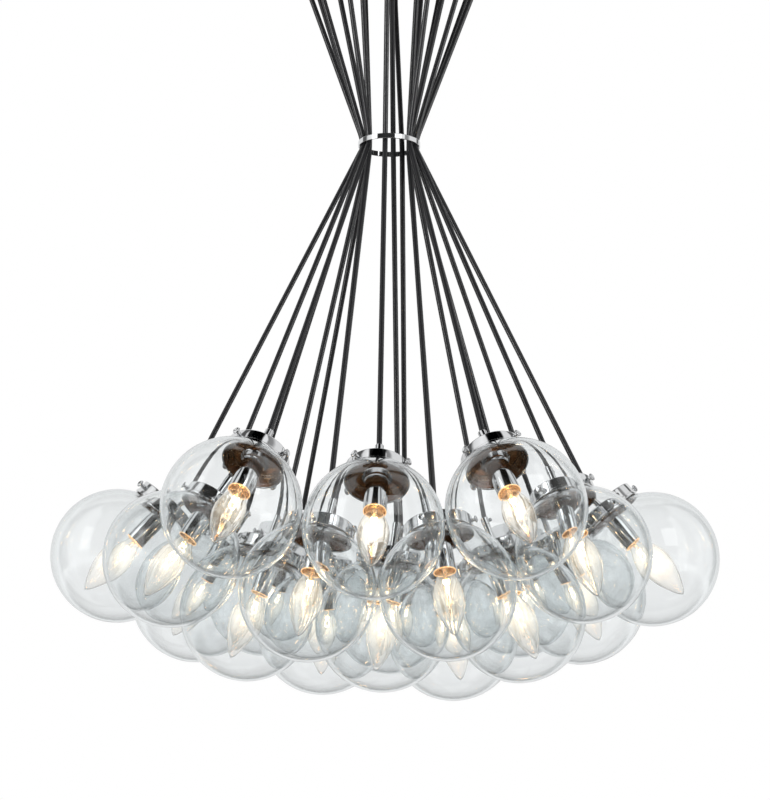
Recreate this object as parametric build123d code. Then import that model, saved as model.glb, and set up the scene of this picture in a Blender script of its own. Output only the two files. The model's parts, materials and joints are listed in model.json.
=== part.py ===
from build123d import *
import math
import os

# A hanging light of nineteen clear glass globes. Each globe hangs on its own black cord from one round
# canopy. A chrome ring draws the cords together half way down, and below it they spread to the globes.
# Millimetres, +Z up, the viewer on the -Y side. The origin is on the ceiling, over the ring's middle.

# Globe: a blown ball with a short neck and a lip for the cap's screws.
globe_d = 150.0
globe_wall = 2.4
neck_d = 62.0
neck_h = 11.4
neck_fillet = 3.0
lip_d = 66.0
lip_h = 2.4
globe_gap = 1.0

# Cap over the neck: a flat plate, a skirt and a rolled lower edge.
cap_wall = 1.2
lip_clearance = 1.3
cap_corner = 1.5
bead_h = 3.4
bead_out = 0.8
seat_gap = 0.3
skirt_gap = 0.6

# Thumb screws in the skirt.
thumb_count = 4
thumb_shank_d = 3.2
thumb_collar_d = 4.8
thumb_collar_h = 1.6
thumb_ball_d = 6.0
thumb_stand = 3.9

# Strain relief, with the threaded nipple below it, and the two clamp screws beside it.
relief_d = 9.0
relief_h = 15.2
relief_flange_d = 12.5
relief_flange_h = 1.2
nipple_d = 9.6
nipple_h = 22.0
clamp_head_d = 5.2
clamp_head_h = 2.6
clamp_shank_d = 3.0
clamp_shank_h = 6.0
clamp_place_r = 10.4

# Collar, socket cup, insulator and screw shell.
collar_d = 34.0
collar_h = 15.6
collar_neck_d = 27.0
collar_step_h = 9.0
cup_d = 25.0
cup_h = 43.0
cup_wall = 1.0
cup_corner = 2.5
insulator_h = 30.0
shell_d = 12.6
shell_wall = 0.4
shell_h = 21.0

# Bulb: screw base, torpedo glass, stem and filament.
base_d = 11.5
base_h = 18.0
base_tip_d = 4.0
base_tip_h = 2.0
bulb_d = 34.4
bulb_h = 86.0
bulb_wall = 0.8
bulb_neck_d = 12.4
stem_d = 6.0
stem_tip_d = 4.4
stem_h = 24.0
filament_d = 0.8
filament_w = 10.0
filament_drop = 11.0
filament_foot_w = 2.4
filament_bend = 1.5

# Cords and the ring round them.
cord_d = 6.0
cord_gap = 0.3
cord_clearance = 0.15
cord_bend_r = 18.0
cord_reach = 568.0
lean_focus_drop = 62.0
exit_run = 16.0
grip_run = 24.0
ring_wall = 1.5
ring_h = 6.2
ring_edge = 0.6
ring_drop = 244.0

# Canopy, grips, crossbar, studs, hub and leads.
canopy_d = 280.0
canopy_h = 30.0
canopy_wall = 1.5
canopy_fillet = 6.0
grip_d = 14.0
grip_h = 9.0
grip_thread_d = 9.4
grip_thread_h = 7.0
grip_taper = 2.2
grip_nut_w = 14.0
grip_nut_h = 3.5
bar_past_stud = 6.0
bar_w = 22.0
bar_t = 2.0
ceiling_hole_d = 5.2
ceiling_hole_pitch = 88.9
stud_d = 4.0
stud_from_rim = 15.0
stud_out = 4.5
stud_clearance = 0.3
stud_nut_w = 7.0
stud_nut_h = 3.2
cap_nut_d = 9.0
cap_nut_h = 8.0
earth_d = 4.0
earth_head_d = 8.0
earth_head_h = 2.4
earth_place = 62.0
hub_d = 56.0
hub_h = 16.0
hub_edge = 1.5
supply_d = 10.0
supply_depth = 8.0
supply_place = 18.0
lead_d = 3.2
lead_bend = 4.5
lead_gap = 0.3
lead_level_outer = 9.0
lead_level_inner = 14.0

# Angles, in degrees.
cluster_turn = -2.5
swing_angle = 10.0

# Distance from the cluster's middle to each rank of globes, in globe pitches.
rank_share = {"middle": 0.0, "inner": 1.0093, "side": 1.7444, "corner": 2.0573}
# Distance of each rank's hole in the canopy from its middle, in canopy radii.
hole_share = {"middle": 0.0, "inner": 0.4857, "side": 0.7714, "corner": 0.7714}

# One row for each pendant, chosen by hand: rank, compass angle from the front, turn of the lamp about
# its own axis, then shares: longer reach of the cord (of a globe), sideways lean, and the two places
# in the ring (of a cord pitch).
pendant_shares = [
    ("side", 0, 52, -0.020, 0.02, -0.75, -4.45),
    ("corner", 30, 47, 0.000, -0.03, 3.52, -2.95),
    ("side", 60, 53, -0.013, 0.16, 4.41, -1.30),
    ("corner", 90, 13, 0.013, -0.13, 4.55, 0.00),
    ("side", 120, 30, 0.000, 0.01, 4.41, 1.30),
    ("corner", 150, 10, 0.000, 0.20, 3.52, 2.95),
    ("side", 180, 45, 0.000, 0.14, 2.38, 1.90),
    ("corner", 210, 25, 0.000, 0.10, -3.52, 2.95),
    ("side", 240, 60, 0.000, 0.12, -4.41, 1.30),
    ("corner", 270, 35, 0.007, 0.17, -4.55, 0.00),
    ("side", 300, 15, 0.040, 0.09, -4.41, -1.30),
    ("corner", 330, 49, 0.000, 0.00, -3.52, -2.90),
    ("inner", 30, 70, 0.000, -0.01, 3.52, -1.52),
    ("inner", 90, 20, 0.013, -0.08, 3.55, 0.00),
    ("inner", 150, 50, 0.013, -0.02, 3.52, 1.52),
    ("inner", 210, 5, -0.027, -0.12, -3.52, 1.52),
    ("inner", 270, 33, 0.013, 0.04, -3.55, 0.00),
    ("inner", 330, 58, 0.013, 0.02, -3.52, -1.52),
    ("middle", 0, 40, -0.047, 0.14, 0.73, 0.00),
]
swinging_count = 12
# How far out the outermost cord sits in the ring, in cord pitches, and how much of the bend's radius
# its arc bulges outwards there.
ring_fill_share = 4.60
ring_bulge_share = 0.11
# The bulb's outline, from its neck to its tip: place along it, and radius as a share of the largest.
bulb_outline_shares = [
    (0.10, 0.45), (0.21, 0.66), (0.33, 0.89), (0.465, 1.00),
    (0.60, 0.94), (0.74, 0.74), (0.87, 0.45), (0.955, 0.22),
]

# Places along a lamp's axis, from the globe's middle towards the cord.
globe_r = globe_d / 2
neck_r = neck_d / 2
neck_root = math.sqrt((globe_r + neck_fillet) ** 2 - (neck_r + neck_fillet) ** 2)
lip_top = neck_root + neck_h
plate_under = lip_top + seat_gap
plate_top = plate_under + cap_wall
cap_d = lip_d + 2 * (lip_clearance + cap_wall)
skirt_bore_r = cap_d / 2 - cap_wall
skirt_low = math.sqrt(globe_r ** 2 - skirt_bore_r ** 2) + skirt_gap
screw_level = (skirt_low + bead_h + lip_top - lip_h) / 2
relief_top = plate_top + relief_h
collar_low = plate_under - collar_h
cup_low = collar_low - cup_h
insulator_top = collar_low - cup_wall
insulator_low = insulator_top - insulator_h
neck_face = insulator_low - base_tip_h
bulb_tip = neck_face - bulb_h

# Places in the whole light.
globe_pitch = globe_d + globe_gap
cord_pitch = cord_d + cord_gap
canopy_r = canopy_d / 2
stud_pitch = canopy_d - 2 * stud_from_rim
bar_length = stud_pitch + 2 * bar_past_stud
canopy_floor = canopy_wall - canopy_h
ring_z = -canopy_h - ring_drop
ring_bore_r = ring_fill_share * cord_pitch + ring_bulge_share * cord_bend_r + cord_d / 2 + cord_gap
joint_z = ring_z - ring_h / 2 - cord_d / 2
joint_gap = cord_d / 2 * math.sin(math.radians(swing_angle)) + cord_gap


def turned(points):
    """A solid turned about Z from its outline, given as (radius, height) corners."""
    outline = Polyline(*[(r, z) for r, z in points], close=True)
    return revolve(Plane.XZ * make_face(outline), Axis.Z)


def tube(outer_d, bore_d, low, high):
    """A straight tube about Z between two heights."""
    return turned([(bore_d / 2, low), (outer_d / 2, low), (outer_d / 2, high), (bore_d / 2, high)])


def round_bar(path, diameter):
    """A round bar swept along a path of runs and tangent arcs."""
    return sweep(Plane(path @ 0, z_dir=path % 0) * Circle(diameter / 2), path=path)


def upright(rank, angle, share, sideways):
    """The middle of a pendant's globe, from the ring's middle, and the direction of its axis."""
    reach = cord_reach + share * globe_d
    fan = 2 * math.asin(rank_share[rank] * globe_pitch / (2 * cord_reach))
    compass = math.radians(angle + cluster_turn)
    out = reach * math.sin(fan)
    place = Vector(out * math.sin(compass), -out * math.cos(compass), -reach * math.cos(fan))
    axis = (Vector(0, 0, -lean_focus_drop) - place).normalized() + Vector(sideways, 0, 0)
    return place + Vector(0, 0, ring_z), axis.normalized()


def make_globe():
    """The ball, its filleted neck and its lip, all one wall thick."""
    corner = Vector(neck_r + neck_fillet, neck_root)
    inner_r = globe_r - globe_wall
    outer_end = corner * (globe_r / corner.length)
    inner_end = corner * (inner_r / corner.length)
    bore_r = neck_r - globe_wall
    half_way = (-math.pi / 2 + math.atan2(corner.Y, corner.X)) / 2
    belly = Vector(math.cos(half_way), math.sin(half_way))
    fillet_way = (math.pi + math.atan2(outer_end.Y - corner.Y, outer_end.X - corner.X) + 2 * math.pi) / 2
    bend = Vector(math.cos(fillet_way), math.sin(fillet_way))
    outline = [
        ThreePointArc((0, -globe_r), belly * globe_r, outer_end),
        ThreePointArc(outer_end, corner + bend * neck_fillet, (neck_r, neck_root)),
        Polyline(
            (neck_r, neck_root),
            (neck_r, lip_top - lip_h),
            (lip_d / 2, lip_top - lip_h),
            (lip_d / 2, lip_top),
            (bore_r, lip_top),
            (bore_r, neck_root),
        ),
        ThreePointArc((bore_r, neck_root), corner + bend * (neck_fillet + globe_wall), inner_end),
        ThreePointArc(inner_end, belly * inner_r, (0, -inner_r)),
        Line((0, -inner_r), (0, -globe_r)),
    ]
    return revolve(Plane.XZ * make_face(Curve() + outline), Axis.Z)


def thumb_places():
    """Where the thumb screws stand round the skirt, each looking outwards along its own Z."""
    return [
        Rot(0, 0, 360 / thumb_count * k) * Pos(cap_d / 2, 0, screw_level) * Rot(0, 90, 0)
        for k in range(thumb_count)
    ]


def clamp_places():
    """Where the two clamp screws stand on the plate."""
    return [Rot(0, 0, 360 / thumb_count * (k + 1 / 2)) * Pos(clamp_place_r, 0, plate_top) for k in (0, 2)]


def make_cap():
    """The plate, the skirt and its rolled edge, with holes for the nipple and the screws."""
    skirt_r = cap_d / 2
    cap = turned([
        (0, plate_under),
        (skirt_bore_r, plate_under),
        (skirt_bore_r, skirt_low),
        (skirt_r + bead_out, skirt_low),
        (skirt_r + bead_out, skirt_low + bead_h),
        (skirt_r, skirt_low + bead_h),
        (skirt_r, plate_top),
        (0, plate_top),
    ])
    rims = cap.edges().filter_by(GeomType.CIRCLE)
    bead_rims = [e for e in rims if e.radius > skirt_r + bead_out / 2]
    cap = fillet(bead_rims, min(bead_out, bead_h / 4) * 0.9)
    top_rim = [
        e for e in cap.edges().filter_by(GeomType.CIRCLE)
        if abs(e.radius - skirt_r) < bead_out / 2 and e.center().Z > plate_top - cap_wall / 2
    ]
    cap = fillet(top_rim, cap_corner)
    cap -= Pos(0, 0, plate_top) * Cylinder(nipple_d / 2 + cord_clearance, 4 * cap_wall)
    for place in clamp_places():
        cap -= place * Cylinder(clamp_shank_d / 2 + cord_clearance, 4 * cap_wall)
    for place in thumb_places():
        cap -= place * Cylinder(thumb_shank_d / 2 + cord_clearance, 4 * cap_wall)
    return cap


def make_thumb_screws():
    """Each screw is a shank through the skirt, a short collar and a ball."""
    shank_in = cap_d / 2 - neck_r - seat_gap
    screw = Pos(0, 0, (thumb_stand - shank_in) / 2) * Cylinder(thumb_shank_d / 2, shank_in + thumb_stand)
    screw += Pos(0, 0, seat_gap + thumb_collar_h / 2) * Cylinder(thumb_collar_d / 2, thumb_collar_h)
    screw += Pos(0, 0, thumb_stand) * Sphere(thumb_ball_d / 2)
    return [place * screw for place in thumb_places()]


def make_clamp_screws():
    """Two round-head screws that pull the collar up to the plate."""
    head = turned([
        (0, 0), (clamp_head_d / 2, 0), (clamp_head_d / 2, clamp_head_h / 3),
        (clamp_head_d / 3, clamp_head_h), (0, clamp_head_h),
    ])
    shank = Pos(0, 0, -clamp_shank_h / 2) * Cylinder(clamp_shank_d / 2, clamp_shank_h)
    return [place * (head + shank) for place in clamp_places()]


def make_relief():
    """The chrome tube that grips the cord, with a flange on the plate and the nipple below."""
    bore_r = cord_d / 2 + cord_clearance
    return turned([
        (bore_r, plate_top - nipple_h),
        (nipple_d / 2, plate_top - nipple_h),
        (nipple_d / 2, plate_top),
        (relief_flange_d / 2, plate_top),
        (relief_flange_d / 2, plate_top + relief_flange_h),
        (relief_d / 2, plate_top + relief_flange_h),
        (relief_d / 2, relief_top),
        (bore_r, relief_top),
    ])


def make_collar():
    """The stepped collar under the plate, bored for the nipple and the clamp screws."""
    hole_r = nipple_d / 2 + cord_clearance
    collar = turned([
        (hole_r, collar_low),
        (collar_neck_d / 2, collar_low),
        (collar_neck_d / 2, plate_under - collar_step_h),
        (collar_d / 2, plate_under - collar_step_h),
        (collar_d / 2, plate_under),
        (hole_r, plate_under),
    ])
    for place in clamp_places():
        hole = Cylinder(clamp_shank_d / 2 + cord_clearance, 2 * (clamp_shank_h + cord_clearance))
        collar -= place * hole
    return collar


def make_cup():
    """The socket cup: a drawn cup, open below, hung on the nipple."""
    cup_r = cup_d / 2
    hole_r = nipple_d / 2 + cord_clearance
    top = collar_low
    return turned([
        (hole_r, top - cup_wall),
        (cup_r - cup_wall - cup_corner / 2, top - cup_wall),
        (cup_r - cup_wall, top - cup_wall - cup_corner / 2),
        (cup_r - cup_wall, cup_low),
        (cup_r, cup_low),
        (cup_r, top - cup_corner / 2),
        (cup_r - cup_corner / 2, top),
        (hole_r, top),
    ])


def make_insulator():
    """The moulded lampholder in the cup, bored for the nipple above and the screw shell below."""
    outer_r = cup_d / 2 - cup_wall - cord_clearance
    hole_r = nipple_d / 2 + cord_clearance
    shell_r = shell_d / 2 + cord_clearance
    nipple_low = plate_top - nipple_h - seat_gap
    shell_top = insulator_low + shell_h + cord_clearance
    return turned([
        (shell_r, insulator_low),
        (outer_r, insulator_low),
        (outer_r, insulator_top - cup_corner),
        (outer_r - cup_corner, insulator_top),
        (hole_r, insulator_top),
        (hole_r, nipple_low),
        (0, nipple_low),
        (0, shell_top),
        (shell_r, shell_top),
    ])


def make_shell():
    """The brass screw shell that the bulb turns into."""
    return tube(shell_d, shell_d - 2 * shell_wall, insulator_low, insulator_low + shell_h)


def make_bulb_base():
    """The bulb's screw base and its end contact."""
    high = neck_face + base_h
    return turned([
        (0, neck_face), (base_d / 2, neck_face), (base_d / 2, high),
        (base_tip_d / 2, high), (base_tip_d / 2, high + base_tip_h), (0, high + base_tip_h),
    ])


def torpedo(radius, neck_radius, tip):
    """A solid of the bulb's outline, from its neck face to its tip."""
    length = neck_face - tip
    points = [(radius * r_share, neck_face - length * z_share) for z_share, r_share in bulb_outline_shares]
    side = Spline(
        (neck_radius, neck_face), *points, (0, tip), tangents=[(0, -1), (-1, 0)]
    )
    outline = Curve() + [side, Polyline((0, tip), (0, neck_face), (neck_radius, neck_face))]
    return revolve(Plane.XZ * make_face(outline), Axis.Z)


def make_bulb_glass():
    """The torpedo bulb, hollow, open where its neck meets the base."""
    outside = torpedo(bulb_d / 2, bulb_neck_d / 2, bulb_tip)
    inside = torpedo(bulb_d / 2 - bulb_wall, bulb_neck_d / 2 - bulb_wall, bulb_tip + bulb_wall)
    return outside - inside


def make_stem():
    """The glass stem that carries the filament."""
    low = neck_face - stem_h
    return turned([(0, low), (stem_tip_d / 2, low), (stem_d / 2, neck_face), (0, neck_face)])


def make_filament():
    """One loop of wire that hangs from the stem's tip."""
    high = neck_face - stem_h
    low = high - filament_drop
    path = FilletPolyline(
        (-filament_foot_w / 2, 0, high), (-filament_w / 2, 0, low),
        (filament_w / 2, 0, low), (filament_foot_w / 2, 0, high),
        radius=filament_bend,
    )
    return round_bar(path, filament_d)


def make_lamp():
    """Every piece of one lampholder and its bulb, in the lamp's own frame."""
    return [
        make_cap(),
        *make_thumb_screws(),
        *make_clamp_screws(),
        make_relief(),
        make_collar(),
        make_cup(),
        make_insulator(),
        make_shell(),
        make_bulb_base(),
        make_bulb_glass(),
        make_stem(),
        make_filament(),
    ]


def hole_place(rank, angle):
    """Where a pendant's cord passes the canopy's floor."""
    out = hole_share[rank] * canopy_r
    compass = math.radians(angle + cluster_turn)
    return Vector(out * math.sin(compass), -out * math.cos(compass), 0)


def corner_radii(points):
    """For each corner, 0.45 of its shorter run over the tangent of half its turn."""
    radii = []
    for before, here, after in zip(points, points[1:], points[2:]):
        run_in = here - before
        run_out = after - here
        half_turn = math.radians(run_in.get_angle(run_out)) / 2
        radii.append(0.45 * min(run_in.length, run_out.length) / math.tan(half_turn))
    return radii


def cord_route(rank, angle, share, sideways, ring_x, ring_y):
    """A cord's points: inside its grip, below it, in the ring, above the lamp and at its relief."""
    hole = hole_place(rank, angle)
    globe, axis = upright(rank, angle, share, sideways)
    return [
        hole + Vector(0, 0, canopy_floor + grip_thread_h),
        hole + Vector(0, 0, -canopy_h - grip_run),
        Vector(ring_x * cord_pitch, ring_y * cord_pitch, ring_z),
        globe + axis * (relief_top + exit_run),
        globe + axis * relief_top,
    ]


def make_cord(number, points):
    """A cord as one tube. Round the ring its bend has the ring's size."""
    radii = corner_radii(points)
    radii[1] = cord_bend_r
    path = FilletPolyline(*points, radius=radii)
    print(f"cord {number:02d}: {path.length:.1f} mm, radii", " ".join(f"{r:.0f}" for r in radii))
    return round_bar(path, cord_d)


def make_ring():
    """The chrome ring: a flat band with softened edges."""
    band = tube(2 * (ring_bore_r + ring_wall), 2 * ring_bore_r, ring_z - ring_h / 2, ring_z + ring_h / 2)
    return fillet(band.edges().filter_by(GeomType.CIRCLE), min(ring_edge, ring_wall * 0.45))


def grip_places():
    """The canopy's nineteen cord places."""
    return [hole_place(rank, angle) for rank, angle, *rest in pendant_shares]


def stud_places():
    """The two stud places along the crossbar."""
    return [Vector(side * stud_pitch / 2, 0, 0) for side in (-1, 1)]


def make_canopy():
    """The round pan, open towards the ceiling, with its cord and stud holes."""
    pan = Pos(0, 0, -canopy_h / 2) * Cylinder(canopy_r, canopy_h)
    pan = fillet(pan.edges().filter_by(GeomType.CIRCLE).sort_by(Axis.Z)[0], canopy_fillet)
    hollow_h = canopy_h - canopy_wall
    hollow = Pos(0, 0, -hollow_h / 2) * Cylinder(canopy_r - canopy_wall, hollow_h)
    low_rim = hollow.edges().filter_by(GeomType.CIRCLE).sort_by(Axis.Z)[0]
    pan -= fillet(low_rim, canopy_fillet - canopy_wall)
    for place in grip_places():
        pan -= Pos(place.X, place.Y, -canopy_h) * Cylinder(grip_thread_d / 2 + cord_clearance, 4 * canopy_wall)
    for place in stud_places():
        pan -= Pos(place.X, place.Y, -canopy_h) * Cylinder(stud_d / 2 + stud_clearance, 4 * canopy_wall)
    return pan


def make_grips():
    """Nineteen cord grips: a tapered head under the canopy, a thread through it and a nut above."""
    bore_r = cord_d / 2 + cord_clearance
    grip = turned([
        (bore_r, -canopy_h - grip_h),
        (grip_d / 2 - grip_taper, -canopy_h - grip_h),
        (grip_d / 2, -canopy_h - grip_h / 2),
        (grip_d / 2, -canopy_h),
        (grip_thread_d / 2, -canopy_h),
        (grip_thread_d / 2, canopy_floor + grip_thread_h),
        (bore_r, canopy_floor + grip_thread_h),
    ])
    nut = extrude(
        RegularPolygon(grip_nut_w / 2, 6, major_radius=False) - Circle(grip_thread_d / 2 + cord_clearance),
        grip_nut_h,
    )
    nut = Pos(0, 0, canopy_floor) * nut
    return [Pos(place.X, place.Y, 0) * piece for place in grip_places() for piece in (grip, nut)]


def make_crossbar():
    """The strap that screws to the ceiling, with its screw, stud and earth holes."""
    bar = Pos(0, 0, -bar_t / 2) * Box(bar_length, bar_w, bar_t)
    bar = fillet(bar.edges().filter_by(Axis.Z), bar_w / 4)
    holes = [(side * ceiling_hole_pitch / 2, ceiling_hole_d / 2) for side in (-1, 1)]
    holes += [(place.X, stud_d / 2 + stud_clearance) for place in stud_places()]
    holes += [(earth_place, earth_d / 2 + cord_clearance)]
    for x, radius in holes:
        bar -= Pos(x, 0, -bar_t / 2) * Cylinder(radius, 2 * bar_t)
    return bar


def make_studs():
    """The two threaded studs with their lock nuts, and the earth screw."""
    length = canopy_h + stud_out - seat_gap
    stud = Pos(0, 0, -seat_gap - length / 2) * Cylinder(stud_d / 2, length)
    nut = extrude(
        RegularPolygon(stud_nut_w / 2, 6, major_radius=False) - Circle(stud_d / 2 + cord_clearance),
        -stud_nut_h,
    )
    nut = Pos(0, 0, -bar_t) * nut
    earth = turned([
        (0, -seat_gap), (earth_d / 2, -seat_gap), (earth_d / 2, -bar_t),
        (earth_head_d / 2, -bar_t), (earth_head_d / 2, -bar_t - earth_head_h), (0, -bar_t - earth_head_h),
    ])
    pieces = [Pos(place.X, place.Y, 0) * piece for place in stud_places() for piece in (stud, nut)]
    return pieces + [Pos(earth_place, 0, 0) * earth]


def make_cap_nuts():
    """The two round cap nuts that hold the canopy up."""
    low = -canopy_h - cap_nut_h
    nut_r = cap_nut_d / 2
    bore_r = stud_d / 2 + cord_clearance
    bore_top = -canopy_h - stud_out - seat_gap
    nut = turned([
        (bore_r, -canopy_h), (nut_r, -canopy_h), (nut_r, low + nut_r / 2),
        (nut_r / 2, low), (0, low), (0, bore_top), (bore_r, bore_top),
    ])
    return [Pos(place.X, place.Y, 0) * nut for place in stud_places()]


def make_hub():
    """The round junction block under the crossbar, with the supply cable's entry."""
    hub = Pos(0, 0, -bar_t - hub_h / 2) * Cylinder(hub_d / 2, hub_h)
    hub = fillet(hub.edges().filter_by(GeomType.CIRCLE), hub_edge)
    return hub - Pos(0, supply_place, -bar_t) * Cylinder(supply_d / 2, 2 * supply_depth)


def make_leads():
    """A lead from each cord's end to the hub. The middle one goes straight up."""
    cord_end = canopy_floor + grip_thread_h + lead_gap
    leads = []
    for rank, angle, *rest in pendant_shares:
        foot = hole_place(rank, angle) + Vector(0, 0, cord_end)
        if rank == "middle":
            height = -bar_t - hub_h - lead_gap - cord_end
            leads.append(Pos(foot) * Pos(0, 0, height / 2) * Cylinder(lead_d / 2, height))
            continue
        level = -lead_level_inner if rank == "inner" else -lead_level_outer
        knee = Vector(foot.X, foot.Y, level)
        inward = Vector(foot.X, foot.Y, 0).normalized() * (hub_d / 2 + lead_gap)
        path = FilletPolyline(foot, knee, Vector(inward.X, inward.Y, level), radius=lead_bend)
        leads.append(round_bar(path, lead_d))
    return leads


def write(node, pieces):
    """One STEP file for a node, with each of its pieces a solid of its own."""
    solids = [solid for piece in pieces for solid in piece.solids()]
    export_step(Compound(children=solids), f"parts/{node}.step")


os.makedirs("parts", exist_ok=True)
print(f"ring: {2 * (ring_bore_r + ring_wall):.1f} mm across, its middle {-ring_z:.1f} mm under the ceiling")
globe_shape = make_globe()
lamp_pieces = make_lamp()
upper_cords = []
inner_cords = []
for number, row in enumerate(pendant_shares, start=1):
    rank, angle, turn, share, sideways, ring_x, ring_y = row
    middle, axis = upright(rank, angle, share, sideways)
    place = Plane(origin=middle, x_dir=Vector(0, 1, 0).cross(axis), z_dir=axis).location * Rot(0, 0, turn)
    write(f"globe_{number:02d}", [place * globe_shape])
    write(f"lampholder_{number:02d}", [place * piece for piece in lamp_pieces])
    cord = make_cord(number, cord_route(rank, angle, share, sideways, ring_x, ring_y))
    if number > swinging_count:
        inner_cords.append(cord)
        continue
    above = Plane(origin=(0, 0, joint_z + joint_gap / 2))
    below = Plane(origin=(0, 0, joint_z - joint_gap / 2))
    upper_cords.append(split(cord, bisect_by=above, keep=Keep.TOP))
    write(f"pendant_cord_{number:02d}", [split(cord, bisect_by=below, keep=Keep.BOTTOM)])

write("upper_cords", upper_cords)
write("inner_cords", inner_cords)
write("waist_ring", [make_ring()])
write("canopy_pan", [make_canopy()])
write("cord_grips", make_grips())
write("crossbar", [make_crossbar()])
write("canopy_studs", make_studs())
write("canopy_cap_nuts", make_cap_nuts())
write("junction_hub", [make_hub()])
write("hub_leads", make_leads())
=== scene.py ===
import json
import math

import bpy
import numpy as np
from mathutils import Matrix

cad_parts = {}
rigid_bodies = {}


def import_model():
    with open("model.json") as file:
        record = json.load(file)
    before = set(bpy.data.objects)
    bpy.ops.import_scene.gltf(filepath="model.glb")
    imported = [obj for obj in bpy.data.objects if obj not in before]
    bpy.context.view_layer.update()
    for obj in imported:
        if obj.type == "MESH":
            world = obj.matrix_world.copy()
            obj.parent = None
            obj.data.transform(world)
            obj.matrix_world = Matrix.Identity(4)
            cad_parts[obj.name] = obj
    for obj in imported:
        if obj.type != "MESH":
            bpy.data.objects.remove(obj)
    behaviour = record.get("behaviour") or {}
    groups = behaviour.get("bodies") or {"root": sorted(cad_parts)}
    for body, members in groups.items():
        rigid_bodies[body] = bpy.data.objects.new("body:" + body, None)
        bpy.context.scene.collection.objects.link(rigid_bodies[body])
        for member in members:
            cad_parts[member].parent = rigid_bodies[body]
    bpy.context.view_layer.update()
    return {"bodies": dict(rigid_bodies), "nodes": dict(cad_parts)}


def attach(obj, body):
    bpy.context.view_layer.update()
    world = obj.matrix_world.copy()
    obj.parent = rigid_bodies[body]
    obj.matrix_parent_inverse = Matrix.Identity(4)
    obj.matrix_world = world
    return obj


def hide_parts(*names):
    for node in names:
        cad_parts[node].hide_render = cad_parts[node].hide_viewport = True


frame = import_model()

# The photograph's view: a long lens almost four metres off and below the lamps, tilted up at them.
# The frame is rolled by less than a degree, as the hang of the cords shows.
tilt, roll = math.radians(13.825), math.radians(-0.7755)
eye_place = np.array([-0.0009, -3.7432, -1.498])
ahead = np.array([0, math.cos(tilt), math.sin(tilt)])
level_up = np.array([0, -math.sin(tilt), math.cos(tilt)])
right = np.array([math.cos(roll), 0, 0]) - level_up * math.sin(roll)
above = np.array([math.sin(roll), 0, 0]) + level_up * math.cos(roll)
lens = bpy.data.cameras.new("photo_camera")
lens.sensor_fit, lens.sensor_width, lens.lens = "HORIZONTAL", 36, 159.23
camera = bpy.data.objects.new("photo_camera", lens)
camera_matrix = np.eye(4)
camera_matrix[:3] = np.stack([right, above, -ahead, eye_place], axis=1)
camera.matrix_world = camera_matrix.T.tolist()
bpy.context.scene.collection.objects.link(camera)
bpy.context.scene.camera = camera

# The studio: a white surround, which a mirrored ray sees with black flags overhead and round the
# sides, as polished metal shows them in the photograph. Light passes many thin glass walls in a
# row, so paths may be long.
scene = bpy.context.scene
scene.view_settings.view_transform = "Standard"
scene.cycles.max_bounces = scene.cycles.transmission_bounces = 40
scene.cycles.glossy_bounces = 8
surround = scene.world or bpy.data.worlds.new("surround")
scene.world = surround
surround.use_nodes = True
surround.node_tree.nodes.clear()
pen = surround.node_tree


def node(kind, **settings):
    """A new node of that kind in the tree that pen holds, with its settings."""
    made = pen.nodes.new("ShaderNode" + kind)
    for name, value in settings.items():
        setattr(made, name, value)
    return made


def maths(operation, *values):
    """A Math node's output. A value is a number or the output that feeds it."""
    made = node("Math", operation=operation)
    for socket, value in zip(made.inputs, values):
        if isinstance(value, (int, float)):
            socket.default_value = value
        else:
            pen.links.new(value, socket)
    return made.outputs[0]


def steps(value, stops):
    """A colour that follows a value from 0 to 1, straight between stops of (place, colour or grey)."""
    ramp = node("ValToRGB")
    spots = ramp.color_ramp.elements
    spots[0].position, spots[1].position = stops[0][0], stops[-1][0]
    for place, colour in stops[1:-1]:
        spots.new(place)
    for spot, (place, colour) in zip(spots, stops):
        spot.color = (*np.broadcast_to(colour, 3), 1)
    pen.links.new(value, ramp.inputs[0])
    return ramp.outputs["Color"]


def mixed(share, first, second):
    """Two shaders' mix: the first where the share is 0, the second where it is 1."""
    made = node("MixShader")
    for socket, output in zip(made.inputs, (share, first, second)):
        pen.links.new(output, socket)
    return made.outputs[0]


looking = node("SeparateXYZ")
pen.links.new(node("TexCoord").outputs["Generated"], looking.inputs[0])
east, north, up = looking.outputs
per_radian = 0.5 / math.pi
bearing = maths("MULTIPLY_ADD", maths("ARCTAN2", east, maths("MULTIPLY", north, -1)), per_radian, 0.5)
flags = steps(bearing, [
    (degrees / 360 + 0.5, grey) for degrees, grey in (
        (-180, 0.8), (-118, 0.8), (-114, 0.1), (-96, 0.1), (-88, 0.8), (-66, 1), (-48, 0.8),
        (-43, 0.02), (-12, 0.03), (38, 0.02), (42, 0.9), (58, 0.9), (62, 0.25), (74, 0.3),
        (84, 0.8), (120, 0.8), (124, 0.12), (136, 0.12), (142, 0.8), (180, 0.8),
    )
])
overhead_up, overhead_north = 0.975, -0.22
height = maths("ADD", maths("MULTIPLY", up, overhead_up), maths("MULTIPLY", north, overhead_north))
overhead = steps(height, [(0, 1), (0.92, 1), (0.945, 0.01), (1, 0.01)])
shade = node("MixRGB", blend_type="MULTIPLY")
shade.inputs[0].default_value = 1
pen.links.new(flags, shade.inputs[1])
pen.links.new(overhead, shade.inputs[2])
studio, fill_light, white = node("Background"), node("Background"), node("Background")
pen.links.new(shade.outputs[0], studio.inputs["Color"])
fill_light.inputs["Color"].default_value = (0.93, 0.96, 1, 1)
fill_light.inputs["Strength"].default_value = 0.75
white.inputs["Color"].default_value = (1, 1, 1, 1)
ray = node("LightPath").outputs
seen = maths("MAXIMUM", maths("MAXIMUM", ray["Is Camera Ray"], ray["Is Glossy Ray"]), ray["Is Transmission Ray"])
mirrored = maths("MULTIPLY", seen, maths("MINIMUM", ray["Glossy Depth"], 1))
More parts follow.
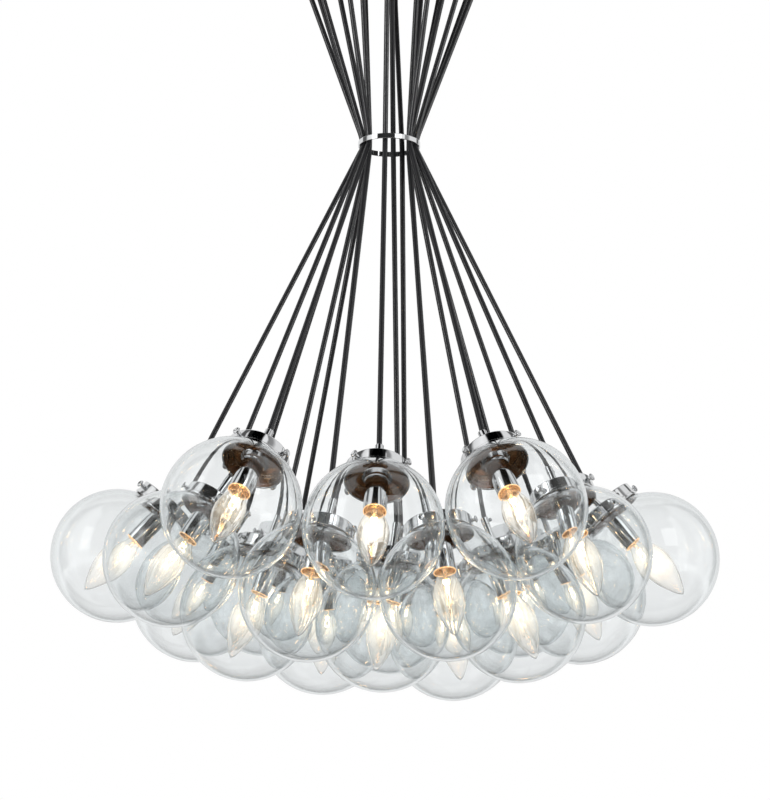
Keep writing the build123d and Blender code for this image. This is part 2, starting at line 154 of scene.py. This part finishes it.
surround_look = mixed(mirrored, mixed(seen, fill_light.outputs[0], white.outputs[0]), studio.outputs[0])
pen.links.new(surround_look, node("OutputWorld").inputs["Surface"])


def softbox(name, place, aim, width, height, power):
    """A rectangular lamp at a place, turned so that it shines at a point."""
    lamp = bpy.data.lights.new(name, "AREA")
    lamp.shape, lamp.size, lamp.size_y, lamp.energy = "RECTANGLE", width, height, power
    thing = bpy.data.objects.new(name, lamp)
    back = np.array(place, float) - aim
    back /= np.linalg.norm(back)
    side = np.cross((0, 0, 1), back)
    side /= np.linalg.norm(side)
    matrix = np.eye(4)
    matrix[:3] = np.stack([side, np.cross(back, side), back, place], axis=1)
    thing.matrix_world = matrix.T.tolist()
    thing.visible_camera = False
    scene.collection.objects.link(thing)
    return thing


lamps_heart, cords_heart = (0, 0, -0.7), (0, 0, -0.45)
softbox("key_softbox", (1.5, -2.3, 0.6), lamps_heart, 1.2, 1.6, 9)
softbox("fill_softbox", (-2.4, -1.6, 0.2), lamps_heart, 1.0, 1.8, 6)
cords = bpy.data.collections.new("cords")
for side, place, power in (("left", (-2.4, -2.1, -0.7), 55), ("right", (2.8, -1.2, -0.7), 47)):
    strip = softbox(f"{side}_cord_softbox", place, cords_heart, 0.9, 1.8, power)
    strip.light_linking.receiver_collection = cords

# The floor lies far below the lamps and looks white, also through glass. A mirrored ray sees it as a
# dark brown cloth with a grey card in its middle and pale far edges, which gives the insides of the
# caps their tones.
half_floor, floor_level = 18.0, -4.5
sheet = bpy.data.meshes.new("floor")
sheet.from_pydata([
    (x * half_floor, y * half_floor, floor_level) for x, y in ((-1, -1), (1, -1), (1, 1), (-1, 1))
], [], [(0, 1, 2, 3)])
floor = bpy.data.objects.new("floor", sheet)
scene.collection.objects.link(floor)
floor_paint = bpy.data.materials.new("floor_paint")
floor_paint.use_nodes = True
sheet.materials.append(floor_paint)
pen = floor_paint.node_tree
matt = pen.nodes["Principled BSDF"]
matt.inputs["Base Color"].default_value = (0.93, 0.93, 0.93, 1)
matt.inputs["Roughness"].default_value = 0.9
pale, cloth = node("Emission"), node("Emission")
pattern_scale, cloth_start, cloth_width = (0.493, 0.493, 0.578), 2.6, 4.0
spot = node("VectorMath", operation="MULTIPLY")
spot.inputs[1].default_value = pattern_scale
pen.links.new(node("TexCoord").outputs["Object"], spot.inputs[0])
far_out = node("VectorMath", operation="LENGTH")
pen.links.new(spot.outputs[0], far_out.inputs[0])
outwards = maths("MULTIPLY", maths("SUBTRACT", far_out.outputs["Value"], cloth_start), 1 / cloth_width)
pen.links.new(steps(outwards, [
    (0, 0.08), (0.02, 0.07), (0.05, (0.040, 0.023, 0.012)), (0.5, (0.024, 0.014, 0.008)), (0.9, 0.5), (1, 0.9),
]), cloth.inputs["Color"])
ray = node("LightPath").outputs
seen = maths("MAXIMUM", ray["Is Camera Ray"], ray["Is Transmission Ray"])
mirrored = maths("MINIMUM", ray["Glossy Depth"], 1)
floor_look = mixed(mirrored, mixed(seen, matt.outputs[0], pale.outputs[0]), cloth.outputs[0])
pen.links.new(floor_look, pen.nodes["Material Output"].inputs["Surface"])

# Cords: 6 mm black flex from the canopy through the ring to the lamps. The outer twelve swing, so they
# are in two lengths that meet under the ring. Columns: rank, compass angle, turn of the lamp, longer
# reach in globes' widths, sideways lean, and the place in the ring in cord pitches.
pendants = [
    ("side", 0, 52, -0.020, 0.02, -0.75, -4.45), ("corner", 30, 47, 0.000, -0.03, 3.52, -2.95),
    ("side", 60, 53, -0.013, 0.16, 4.41, -1.30), ("corner", 90, 13, 0.013, -0.13, 4.55, 0.00),
    ("side", 120, 30, 0.000, 0.01, 4.41, 1.30), ("corner", 150, 10, 0.000, 0.20, 3.52, 2.95),
    ("side", 180, 45, 0.000, 0.14, 2.38, 1.90), ("corner", 210, 25, 0.000, 0.10, -3.52, 2.95),
    ("side", 240, 60, 0.000, 0.12, -4.41, 1.30), ("corner", 270, 35, 0.007, 0.17, -4.55, 0.00),
    ("side", 300, 15, 0.040, 0.09, -4.41, -1.30), ("corner", 330, 49, 0.000, 0.00, -3.52, -2.90),
    ("inner", 30, 70, 0.000, -0.01, 3.52, -1.52), ("inner", 90, 20, 0.013, -0.08, 3.55, 0.00),
    ("inner", 150, 50, 0.013, -0.02, 3.52, 1.52), ("inner", 210, 5, -0.027, -0.12, -3.52, 1.52),
    ("inner", 270, 33, 0.013, 0.04, -3.55, 0.00), ("inner", 330, 58, 0.013, 0.02, -3.52, -1.52),
    ("middle", 0, 40, -0.047, 0.14, 0.73, 0.00),
]
swinging = 12
fan_share = {"middle": 0, "inner": 1.0093, "side": 1.7444, "corner": 2.0573}
hole_out = {"middle": 0, "inner": 0.068, "side": 0.108, "corner": 0.108}
grip_level, bend_level, ring_level, joint_level = -0.0215, -0.054, -0.274, -0.2801
cord_reach, globe_width, globe_pitch, cord_pitch = 0.568, 0.150, 0.151, 0.0063
cluster_turn = -2.5
leans_at = (0, 0, -0.062)
entry_height, foot_height = 0.1143, 0.0983
bend_reach, waist_reach, entry_reach = 0.0325, 0.036, 0.016


def lamp_place(rank, compass, turn, longer, lean):
    """The globe's middle and the lamp's axes as columns.

    The middle is out from the ring's middle by the cord's reach, fanned by its rank. The third axis
    looks back at a point 62 mm under the ring, leant sideways, and the lamp is turned about it.
    """
    reach = cord_reach + longer * globe_width
    fan = 2 * math.asin(fan_share[rank] * globe_pitch / (2 * cord_reach))
    way = math.radians(compass + cluster_turn)
    out = np.array([math.sin(fan) * math.sin(way), -math.sin(fan) * math.cos(way), -math.cos(fan)]) * reach
    axis = np.array(leans_at) - out
    axis = axis / np.linalg.norm(axis) + (lean, 0, 0)
    axis /= np.linalg.norm(axis)
    side = np.cross((0, 1, 0), axis)
    side /= np.linalg.norm(side)
    x = side * math.cos(math.radians(turn)) + np.cross(axis, side) * math.sin(math.radians(turn))
    return out + (0, 0, ring_level), np.stack([x, np.cross(axis, x), axis], axis=1)


def surface(name, colour, metal, rough, grain, lift, **sockets):
    """A Principled finish. Fine noise moves its roughness between two values and lifts it a little."""
    global pen
    made = bpy.data.materials.new(name)
    made.use_nodes = True
    pen = made.node_tree
    shader = pen.nodes["Principled BSDF"]
    shader.inputs["Base Color"].default_value = (*colour, 1)
    shader.inputs["Metallic"].default_value = metal
    for socket, value in sockets.items():
        shader.inputs[socket.replace("_", " ")].default_value = value
    noise = node("TexNoise")
    noise.inputs["Scale"].default_value = grain
    noise.inputs["Detail"].default_value = 3
    pen.links.new(node("TexCoord").outputs["Object"], noise.inputs["Vector"])
    spread = node("MapRange")
    spread.inputs["To Min"].default_value, spread.inputs["To Max"].default_value = rough
    pen.links.new(noise.outputs["Fac"], spread.inputs["Value"])
    pen.links.new(spread.outputs["Result"], shader.inputs["Roughness"])
    bump = node("Bump")
    bump.inputs["Strength"].default_value = 0.5
    bump.inputs["Distance"].default_value = lift
    pen.links.new(noise.outputs["Fac"], bump.inputs["Height"])
    pen.links.new(bump.outputs["Normal"], shader.inputs["Normal"])
    return made


black_flex = surface("black_flex", (0.012, 0.012, 0.013), 0, (0.28, 0.36), 300, 0.00001, IOR=1.45)


def hang(name, body, node_name, points):
    """A cord on a smooth curve with the route's points as its control points, and its ends on them."""
    points = np.array(points)
    line = bpy.data.curves.new(name, "CURVE")
    line.dimensions, line.bevel_depth, line.bevel_resolution = "3D", 0.003, 4
    line.resolution_u, line.use_fill_caps = 12, True
    spline = line.splines.new("NURBS")
    spline.points.add(len(points) - 1)
    spline.points.foreach_set("co", np.c_[points, np.ones(len(points))].ravel())
    spline.order_u, spline.use_endpoint_u = 3, True
    line.materials.append(black_flex)
    cord = bpy.data.objects.new(name, line)
    scene.collection.objects.link(cord)
    cords.objects.link(cord)
    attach(cord, body)
    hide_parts(node_name)


def towards(start, end, far):
    """The point that lies that far from start on the way to end."""
    return start + (end - start) * far / np.linalg.norm(end - start)


places = []
for number, (rank, compass, turn, longer, lean, ring_x, ring_y) in enumerate(pendants, start=1):
    middle, axes = lamp_place(rank, compass, turn, longer, lean)
    places.append((middle, axes))
    way = math.radians(compass + cluster_turn)
    hole = np.array([math.sin(way), -math.cos(way), 0]) * hole_out[rank]
    top, under = hole + (0, 0, grip_level), hole + (0, 0, bend_level)
    waist = np.array([ring_x * cord_pitch, ring_y * cord_pitch, ring_level])
    entry, foot = middle + axes[:, 2] * entry_height, middle + axes[:, 2] * foot_height
    high = [top, under, towards(under, waist, bend_reach), towards(waist, under, waist_reach), waist]
    low = [towards(entry, waist, entry_reach), entry, foot]
    if number > swinging:
        hang(f"cord_{number:02d}", "root", "inner_cords", [*high, towards(waist, entry, waist_reach), *low])
        continue
    meeting = waist + (entry - waist) * (joint_level - ring_level) / (entry - waist)[2]
    hang(f"upper_cord_{number:02d}", "root", "upper_cords", [*high, meeting])
    hang(f"cord_{number:02d}", f"pendant_{number:02d}", f"pendant_cord_{number:02d}", [meeting, *low])

# Globes: blown clear glass, 150 mm across and 2.4 mm thick, with a short neck and a lip that the
# thumb screws hold. The glass is a touch cool and ripples faintly. This profile and those below are
# in millimetres: distance from the lamp's axis, and height above the globe's middle.


def arc(centre, radius, start, stop, count):
    """Points on a circle: centre plus radius times the cosine and sine of evenly spaced angles in degrees."""
    angle = np.radians(np.linspace(start, stop, count))
    return np.stack([centre[0] + radius * np.cos(angle), centre[1] + radius * np.sin(angle)], axis=1)


def facing_out(points, triangles, uv):
    """A closed shape with its triangles turned outwards: the volume that they enclose is above zero."""
    p = points[triangles]
    if (np.cross(p[:, 0], p[:, 1]) * p[:, 2]).sum() < 0:
        triangles, uv = triangles[:, ::-1], uv[:, ::-1]
    return points, triangles, uv


def spun(profile, sides=64, loop=False, along=None):
    """A profile carried round Z.

    Point (i, j) is (r_i cos a_j, r_i sin a_j, z_i) with a_j a share of the full turn. Points on the
    axis are one. It returns points, outward triangles and a UV of (turn, way along the profile).
    """
    profile = np.array(profile, float)
    if loop:
        profile = np.vstack([profile, profile[:1]])
    rows = len(profile)
    angle = 2 * math.pi * np.arange(sides) / sides
    points = np.stack([
        profile[:, :1] * np.cos(angle), profile[:, :1] * np.sin(angle), profile[:, 1:] + 0 * angle
    ], axis=2).reshape(-1, 3)
    if along is None:
        step = np.linalg.norm(np.diff(profile, axis=0), axis=1)
        along = np.r_[0, np.cumsum(step)] / step.sum()
    i, j = np.meshgrid(np.arange(rows - 1), np.arange(sides), indexing="ij")
    corners = [(i, j), (i, j + 1), (i + 1, j + 1), (i + 1, j)]
    kept = np.arange(rows * sides).reshape(rows, sides)
    on_axis = profile[:, 0] < 1e-9
    kept[on_axis] = kept[on_axis][:, :1]
    if loop:
        kept[-1] = kept[0]
    ids = np.stack([kept[a, b % sides] for a, b in corners], axis=-1).reshape(-1, 4)
    uv = np.stack([
        np.stack([b / sides + 0 * a, np.asarray(along)[a] + 0 * b], axis=-1) for a, b in corners
    ], axis=2).reshape(-1, 4, 2)
    triangles = np.concatenate([ids[:, [0, 1, 2]], ids[:, [0, 2, 3]]])
    uv = np.concatenate([uv[:, [0, 1, 2]], uv[:, [0, 2, 3]]])
    a, b, c = triangles.T
    whole = (a != b) & (b != c) & (a != c)
    return facing_out(points, triangles[whole], uv[whole])


def moved(shape, matrix, shift):
    """A shape with each point turned by a matrix and shifted."""
    return shape[0] @ np.array(matrix, float).T + shift, shape[1], shape[2]


def new_piece(name, shape, paint, sharp):
    """A mesh object of a shape in metres, smooth but for edges past an angle in degrees."""
    points, triangles, uv = shape
    used, triangles = np.unique(triangles, return_inverse=True)
    mesh = bpy.data.meshes.new(name)
    mesh.from_pydata(points[used].tolist(), [], triangles.reshape(-1, 3).tolist())
    mesh.uv_layers.new(name="UVMap").data.foreach_set("uv", uv.reshape(-1))
    mesh.polygons.foreach_set("use_smooth", np.ones(len(mesh.polygons), bool))
    mesh.set_sharp_from_angle(angle=math.radians(sharp))
    mesh.materials.append(paint)
    thing = bpy.data.objects.new(name, mesh)
    scene.collection.objects.link(thing)
    return thing


def fit_each(kind, shape, paint, replaced="lampholder", sharp=32, shadow=True):
    """The same shape, in millimetres on the lamp's axis, in each of the nineteen lamps."""
    for number, (middle, axes) in enumerate(places, start=1):
        piece = new_piece(f"{kind}_{number:02d}", moved(shape, axes / 1000, middle), paint, sharp)
        piece.visible_shadow = shadow
        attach(piece, f"pendant_{number:02d}" if number <= swinging else "root")
        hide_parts(f"{replaced}_{number:02d}")


def clear_glass(name, colour, ripple, ripple_scale, tint, density):
    """Clear glass: it lets all light through its faces, and takes a little on the way inside the wall."""
    made = surface(name, colour, 0, (0, 0), ripple_scale, ripple, Transmission_Weight=1, IOR=1.47)
    roughness = pen.nodes["Principled BSDF"].inputs["Roughness"]
    pen.links.remove(roughness.links[0])
    roughness.default_value = 0
    inside = node("VolumeAbsorption")
    inside.inputs["Color"].default_value = (*tint, 1)
    inside.inputs["Density"].default_value = density
    pen.links.new(inside.outputs[0], pen.nodes["Material Output"].inputs["Volume"])
    return made


globe_glass = clear_glass("globe_glass", (1, 1, 1), 0.00012, 26, (0.44, 0.64, 0.69), 25)
pen.nodes["Principled BSDF"].inputs["Specular IOR Level"].default_value = 0.28
shoulder = np.array([34.0, 70.2])
shoulder_way = math.degrees(math.atan2(shoulder[1], shoulder[0]))
globe = np.vstack([
    arc((0, 0), 75, -90, shoulder_way, 64),
    arc(shoulder, 3, 180 + shoulder_way, 180, 7)[1:],
    [(31, 78.9)], arc((32.6, 79.6), 0.4, -90, 0, 4), arc((32.6, 81.2), 0.4, 0, 90, 4),
    [(29.0, 81.6), (28.6, 81.2)],
    arc(shoulder, 5.4, 180, 180 + shoulder_way, 9),
    arc((0, 0), 72.6, shoulder_way, -90, 64)[1:],
])
globe[0, 0] = globe[-1, 0] = 0
fit_each("globe", spun(globe, 96), globe_glass, "globe", 40, shadow=False)

# Caps: spun steel plates with a straight skirt and a rolled lower edge, polished and chrome plated.
# A hole in the middle takes the strain relief's thread.
cap_chrome = surface("cap_chrome", (0.83, 0.84, 0.85), 1, (0.02, 0.06), 260, 0.000006)
cap = np.vstack([
    [(4.95, 82.3), (12, 82.25), (22, 82.1)], arc((33.3, 81.0), 1.0, 88, 0, 7),
    [(34.3, 67.9)], arc((34.9, 67.9), 0.6, 180, 270, 5), arc((35.6, 68.0), 0.7, -90, 0, 6),
    arc((35.6, 70.0), 0.7, 0, 80, 5), [(35.5, 70.9), (35.5, 76)],
    arc((34.0, 81.6), 1.5, 0, 90, 9), [(20, 83.1), (4.95, 83.1)],
])
fit_each("cap", spun(cap, 96, loop=True), cap_chrome)

# Cap linings: the inner side of each cap is bare steel, painted brown-orange for the bulb's warm
# light that it catches and mirrors. It is a thin layer on the plate and the skirt.
painted_warm_lining = surface("painted_warm_lining", (0.46, 0.26, 0.13), 0.8, (0.02, 0.05), 60, 0.00005)
lining = np.vstack([
    [(5.2, 82.22), (12, 82.17), (22, 82.02)], arc((33.2, 80.92), 0.98, 88, 0, 7), [(34.18, 68.6), (34.12, 68.6)],
    arc((33.2, 80.92), 0.92, 0, 88, 7), [(22, 81.96), (12, 82.11), (5.2, 82.16)],
])
fit_each("cap_lining", spun(lining, 72, loop=True), painted_warm_lining)

# Thumb screws: four round the skirt hold the globe by its lip. Each has a shank, a neck and a round,
# dished head to grip.


def together(parts):
    """Several shapes as one."""
    starts = np.cumsum([0] + [len(p[0]) for p in parts[:-1]])
    return (
        np.concatenate([p[0] for p in parts]),
        np.concatenate([p[1] + s for p, s in zip(parts, starts)]),
        np.concatenate([p[2] for p in parts]),
    )


def about_axis(degrees):
    """The matrix of a turn about Z."""
    c, s = math.cos(math.radians(degrees)), math.sin(math.radians(degrees))
    return np.array([[c, -s, 0], [s, c, 0], [0, 0, 1]])


screw_chrome = surface("screw_chrome", (0.78, 0.79, 0.80), 1, (0.06, 0.14), 700, 0.00001)
outward = np.array([[0, 0, 1], [0, 1, 0], [-1, 0, 0]], float)
skirt_r, thumb_level = 35.5, 74.95
thumb_screw = spun(np.vstack([
    [(0, -4.2), (1.3, -4.2), (1.6, -3.8), (1.6, 0.3), (2.2, 0.3), (2.5, 0.6), (2.5, 1.6)],
    [(2.0, 2.1), (1.7, 3.2), (1.9, 4.6), (3.2, 5.1)], arc((3.2, 6.1), 1, -80, 70, 9),
    [(2.6, 6.9), (1.4, 6.5), (0, 6.35)],
]), 32)
fit_each("thumb_screws", together([
    moved(thumb_screw, about_axis(turned) @ outward, about_axis(turned) @ (skirt_r, 0, thumb_level))
    for turned in (0, 90, 180, 270)
]), screw_chrome)

# Clamp screws: two round heads on the plate. Their shanks go through it into the collar and pull the
# collar up against it.
plate_top, clamp_out = 83.1, 10.4
clamp_screw = spun([
    (0, -6), (1.3, -6), (1.5, -5.8), (1.5, 0), (2.4, 0), (2.6, 0.2), (2.6, 0.9), (2.35, 1.6), (1.8, 2.2),
    (1.0, 2.52), (0, 2.6),
], 24)
fit_each("clamp_screws", together([
    moved(clamp_screw, about_axis(turned), about_axis(turned) @ (clamp_out, 0, plate_top)) for turned in (45, 225)
]), screw_chrome)

# Strain reliefs: a turned tube with a flange that sits on the plate. Its threaded end goes down
# through the plate and the collar, and a small side screw near its upper end grips the cord.
relief = spun(np.vstack([
    [(3.15, 61.1), (4.5, 61.1), (4.8, 61.5), (4.8, 83.1), (5.9, 83.1), (6.25, 83.4), (6.25, 84.0), (5.9, 84.3)],
    [(4.5, 84.3), (4.5, 108.6), (4.9, 109.0), (4.9, 117.4)], arc((4.3, 117.4), 0.6, 0, 90, 5),
    [(4.0, 118.0), (3.6, 117.7), (3.6, 99), (3.15, 98)],
]), 40, loop=True)
side_screw_level = 113.6
side_screw = spun(np.vstack([
    [(0, 4.0), (1.4, 4.0), (1.4, 5.4)], arc((0, 7.4), 2.4, -56, 90, 12)[:-1], [(0, 9.8)],
]), 24)
relief = together([relief, moved(side_screw, outward, (0, 0, side_screw_level))])
fit_each("strain_relief", relief, screw_chrome)

# Collars: a stepped disc under the plate, turned and chrome plated, that the socket cup hangs from.
# The strain relief's thread runs down its middle.
collar = spun([
    (4.95, 66.3), (12.9, 66.3), (13.5, 66.9), (13.5, 72.9), (16.4, 72.9), (17, 73.5), (17, 81.3),
    (16.4, 81.9), (4.95, 81.9),
], 80, loop=True)
fit_each("collar", collar, cap_chrome)

# Socket cups: drawn chrome cups, 25 mm across, that hide the lampholder. The wall turns in a little
# at the mouth.
cup_chrome = surface("cup_chrome", (0.86, 0.87, 0.88), 1, (0.015, 0.05), 240, 0.000008)
cup = spun(np.vstack([
    [(4.95, 65.3), (10.25, 65.3), (11.5, 64.0), (11.5, 24.9), (11.8, 24.6), (12.4, 24.6), (12.5, 24.9)],
    [(12.5, 63.8)], arc((10.0, 63.8), 2.5, 0, 90, 10)[1:], [(4.95, 66.3)],
]), 80, loop=True)
fit_each("socket_cup", cup, cup_chrome)

# Cup lips: the bead round each cup's mouth. The bulb's light falls on it and makes it shine like
# copper, so it glows a little by itself.
lit_lip = surface("lit_lip", (0.9, 0.72, 0.5), 1, (0.12, 0.2), 300, 0.00001,
                  Emission_Color=(1, 0.60, 0.27, 1), Emission_Strength=1.05)
cup_lip = spun(arc((12.0, 24.1), 0.55, 0, 360, 15)[:-1], 80, loop=True)
fit_each("cup_lip", cup_lip, lit_lip)

# Lampholder insulators: moulded white plastic inside the cup, warm from the bulb's light below. The
# screw shell sits in its bore.
lit_plastic = surface("lit_plastic", (0.82, 0.70, 0.55), 0, (0.35, 0.5), 500, 0.00002,
                      Emission_Color=(1, 0.27, 0.04, 1), Emission_Strength=0.2)
insulator = spun([
    (6.45, 35.3), (10.9, 35.3), (11.35, 35.8), (11.35, 62.8), (8.85, 65.3), (4.95, 65.3), (4.95, 60.8),
    (0, 60.8), (0, 56.45), (6.45, 56.45),
], 48)
fit_each("insulator", insulator, lit_plastic)

# Screw shells: thin brass sleeves, rolled to the thread that the bulb turns into. Seven turns run
# over 21 mm.
brass = surface("brass", (0.78, 0.55, 0.26), 1, (0.18, 0.32), 420, 0.00002)
way_up = np.linspace(0, 1, 49)


def thread(radius, depth, bottom, length, crests):
    """A wavy line up a thread: the radius plus the depth times the cosine of each crest's full turn."""
    return np.stack([radius + depth * np.cos(2 * math.pi * crests * way_up), bottom + length * way_up], axis=1)


shell = np.vstack([thread(6.22, 0.08, 35.3, 21, 7), thread(5.98, 0.08, 35.3, 21, 7)[::-1]])
fit_each("screw_shell", spun(shell, 40, loop=True), brass)

# Bulb bases: brass caps with six turns of thread, and the small contact on top that meets the
# lampholder's.
base = np.vstack([[(0, 33.4)], thread(5.55, -0.2, 33.4, 17.9, 6), [(2, 51.3), (2, 53.1), (0, 53.3)]])
fit_each("bulb_base", spun(base, 40), brass)

# Bulbs: clear torpedo glass, 34 mm across and drawn to a pointed tip. The filament's light fills
# the widest part with a cream glow that fades towards the neck, the tip and the edges.
outline_shares = np.array([
    (0, 0.3605), (0.10, 0.45), (0.21, 0.66), (0.33, 0.89), (0.465, 1), (0.60, 0.94), (0.74, 0.74), (0.87, 0.45),
    (0.955, 0.22), (1, 0),
])
neck_level, outer_r, outer_tip, inner_r, inner_tip = 33.3, 17.2, -52.7, 16.4, -51.9


def smooth_through(points, count):
    """A curve through points.

    Between two of them it is the cubic whose slope at each is half the way between its neighbours.
    """
    before = np.vstack([2 * points[0] - points[1], points])
    after = np.vstack([points, points[-2] * (1, -1) + (0, 2 * points[-1, 1])])
    p = np.vstack([before[:1], points, after[-1:]])
    t = np.linspace(0, 1, count, endpoint=False)[:, None]
    pieces = [
        0.5 * (2 * b + (c - a) * t + (2 * a - 5 * b + 4 * c - d) * t**2 + (3 * b - a - 3 * c + d) * t**3)
        for a, b, c, d in zip(p, p[1:], p[2:], p[3:])
    ]
    return np.vstack([*pieces, points[-1:]])


def torpedo(radius, tip):
    """The bulb's outline from its neck to its tip, with its radius and height from the shares."""
    points = np.stack([
        radius * outline_shares[:, 1], neck_level + (tip - neck_level) * outline_shares[:, 0]
    ], axis=1)
    line = smooth_through(points, 8)
    line[:, 0] = np.maximum(line[:, 0], 0)
    line[-1, 0] = 0
    return line


bulb_glass = clear_glass("bulb_glass", (1, 0.997, 0.99), 0.00004, 60, (0.82, 0.79, 0.74), 16)
shader = pen.nodes["Principled BSDF"]
shader.inputs["Emission Color"].default_value = (1, 0.83, 0.58, 1)
unrolled = node("SeparateXYZ")
pen.links.new(node("TexCoord").outputs["UV"], unrolled.inputs[0])
fade = steps(unrolled.outputs["Y"], [
    (0, 0.02), (0.14, 0.15), (0.28, 0.9), (0.40, 1.0), (0.54, 0.7), (0.72, 0.25), (1, 0.03),
])
fade.node.color_ramp.interpolation = "EASE"
edge_on = node("LayerWeight")
edge_on.inputs["Blend"].default_value = 0.35
edge_fade, glow_power = 2.2, 0.17
face_on = maths("POWER", maths("SUBTRACT", 1, edge_on.outputs["Facing"]), edge_fade)
pen.links.new(maths("MULTIPLY", maths("MULTIPLY", fade, face_on), glow_power), shader.inputs["Emission Strength"])
bulb = np.vstack([torpedo(outer_r, outer_tip), torpedo(inner_r, inner_tip)[::-1]])
down_bulb = (neck_level - bulb[:, 1]) / (neck_level - outer_tip)
fit_each("bulb", spun(bulb, 64, along=down_bulb), bulb_glass, sharp=50, shadow=False)

# Stems: a drawn rod of the same glass stands on each bulb's base inside the bulb. It narrows towards
# the filament that it carries.
stem = spun([(0, 9.3), (1.8, 9.3), (2.2, 9.8), (3.0, 33.2), (0, 33.2)], 24)
fit_each("stem", stem, bulb_glass, sharp=40, shadow=False)

# Filaments: one loop of glowing wire hangs from the stem in each bulb, and gives the bulb its white
# core.
hot_wire = surface("hot_wire", (0.5, 0.4, 0.3), 1, (0.4, 0.5), 500, 0.00001,
                   Emission_Color=(1, 0.86, 0.64, 1), Emission_Strength=14)
wire_r = 0.4


def tube(line, radius, sides=10):
    """A round wire along a line of points.

    Each ring is the point plus the radius times the cosine and sine of two directions square to the run.
    """
    line = np.array(line, float)
    run = np.gradient(line, axis=0)
    run /= np.linalg.norm(run, axis=1, keepdims=True)
    across = np.cross(run, (0, 1, 0.01))
    across /= np.linalg.norm(across, axis=1, keepdims=True)
    over = np.cross(run, across)
    angle = 2 * math.pi * np.arange(sides) / sides
    points = line[:, None] + radius * (
        across[:, None] * np.cos(angle)[:, None] + over[:, None] * np.sin(angle)[:, None]
    )
    points = np.concatenate([points.reshape(-1, 3), line[[0, -1]]])
    i, j = np.meshgrid(np.arange(len(line) - 1), np.arange(sides), indexing="ij")
    a, b = i * sides + j, i * sides + (j + 1) % sides
    walls = np.concatenate([
        np.stack([a, b, b + sides], -1).reshape(-1, 3), np.stack([a, b + sides, a + sides], -1).reshape(-1, 3)
    ])
    j = np.arange(sides)
    end = len(line) * sides
    caps = np.concatenate([
        np.stack([j * 0 + end, (j + 1) % sides, j], -1),
        np.stack([j * 0 + end + 1, end - sides + j, end - sides + (j + 1) % sides], -1),
    ])
    triangles = np.concatenate([walls, caps])
    return facing_out(points, triangles, np.zeros((len(triangles), 3, 2)))


t = np.linspace(0, 1, 41)
bow, sway = np.sin(math.pi * t), np.cos(math.pi * t)
wire_line = np.stack([-7.04 * bow * sway - 1.2 * sway, 0.5 * np.sin(6 * math.pi * t), 9.4 - 10.6 * bow], axis=1)
fit_each("filament", tube(wire_line, wire_r), hot_wire, shadow=False)

# The bulbs' light: a faint warm point lamp just above the middle of each globe. It warms the cups and
# the caps from below, and its own spot can't be seen.
light_height = 0.012
for number, (middle, axes) in enumerate(places, start=1):
    spark = bpy.data.lights.new(f"bulb_light_{number:02d}", "POINT")
    spark.energy, spark.color, spark.shadow_soft_size = 0.022, (1, 0.58, 0.24), 0.004
    thing = bpy.data.objects.new(spark.name, spark)
    thing.location = middle + axes[:, 2] * light_height
    thing.visible_camera = False
    scene.collection.objects.link(thing)
    thing.parent = frame["bodies"][f"pendant_{number:02d}" if number <= swinging else "root"]

# The ring, the canopy and its fittings keep their CAD shapes, each with the finish of its metal or
# plastic.
zinc_steel = surface("zinc_steel", (0.62, 0.64, 0.66), 1, (0.28, 0.45), 60, 0.00004)
for name, paint in {
    "waist_ring": surface("ring_chrome", (0.84, 0.85, 0.86), 1, (0.02, 0.06), 300, 0.00001),
    "canopy_pan": surface("canopy_chrome", (0.82, 0.83, 0.84), 1, (0.03, 0.09), 90, 0.00002),
    "cord_grips": screw_chrome,
    "canopy_cap_nuts": screw_chrome,
    "crossbar": zinc_steel,
    "canopy_studs": zinc_steel,
    "junction_hub": surface("hub_plastic", (0.80, 0.80, 0.78), 0, (0.35, 0.5), 300, 0.00003),
    "hub_leads": surface("lead_sheath", (0.75, 0.75, 0.73), 0, (0.4, 0.5), 500, 0.00003),
}.items():
    frame["nodes"][name].data.materials.clear()
    frame["nodes"][name].data.materials.append(paint)
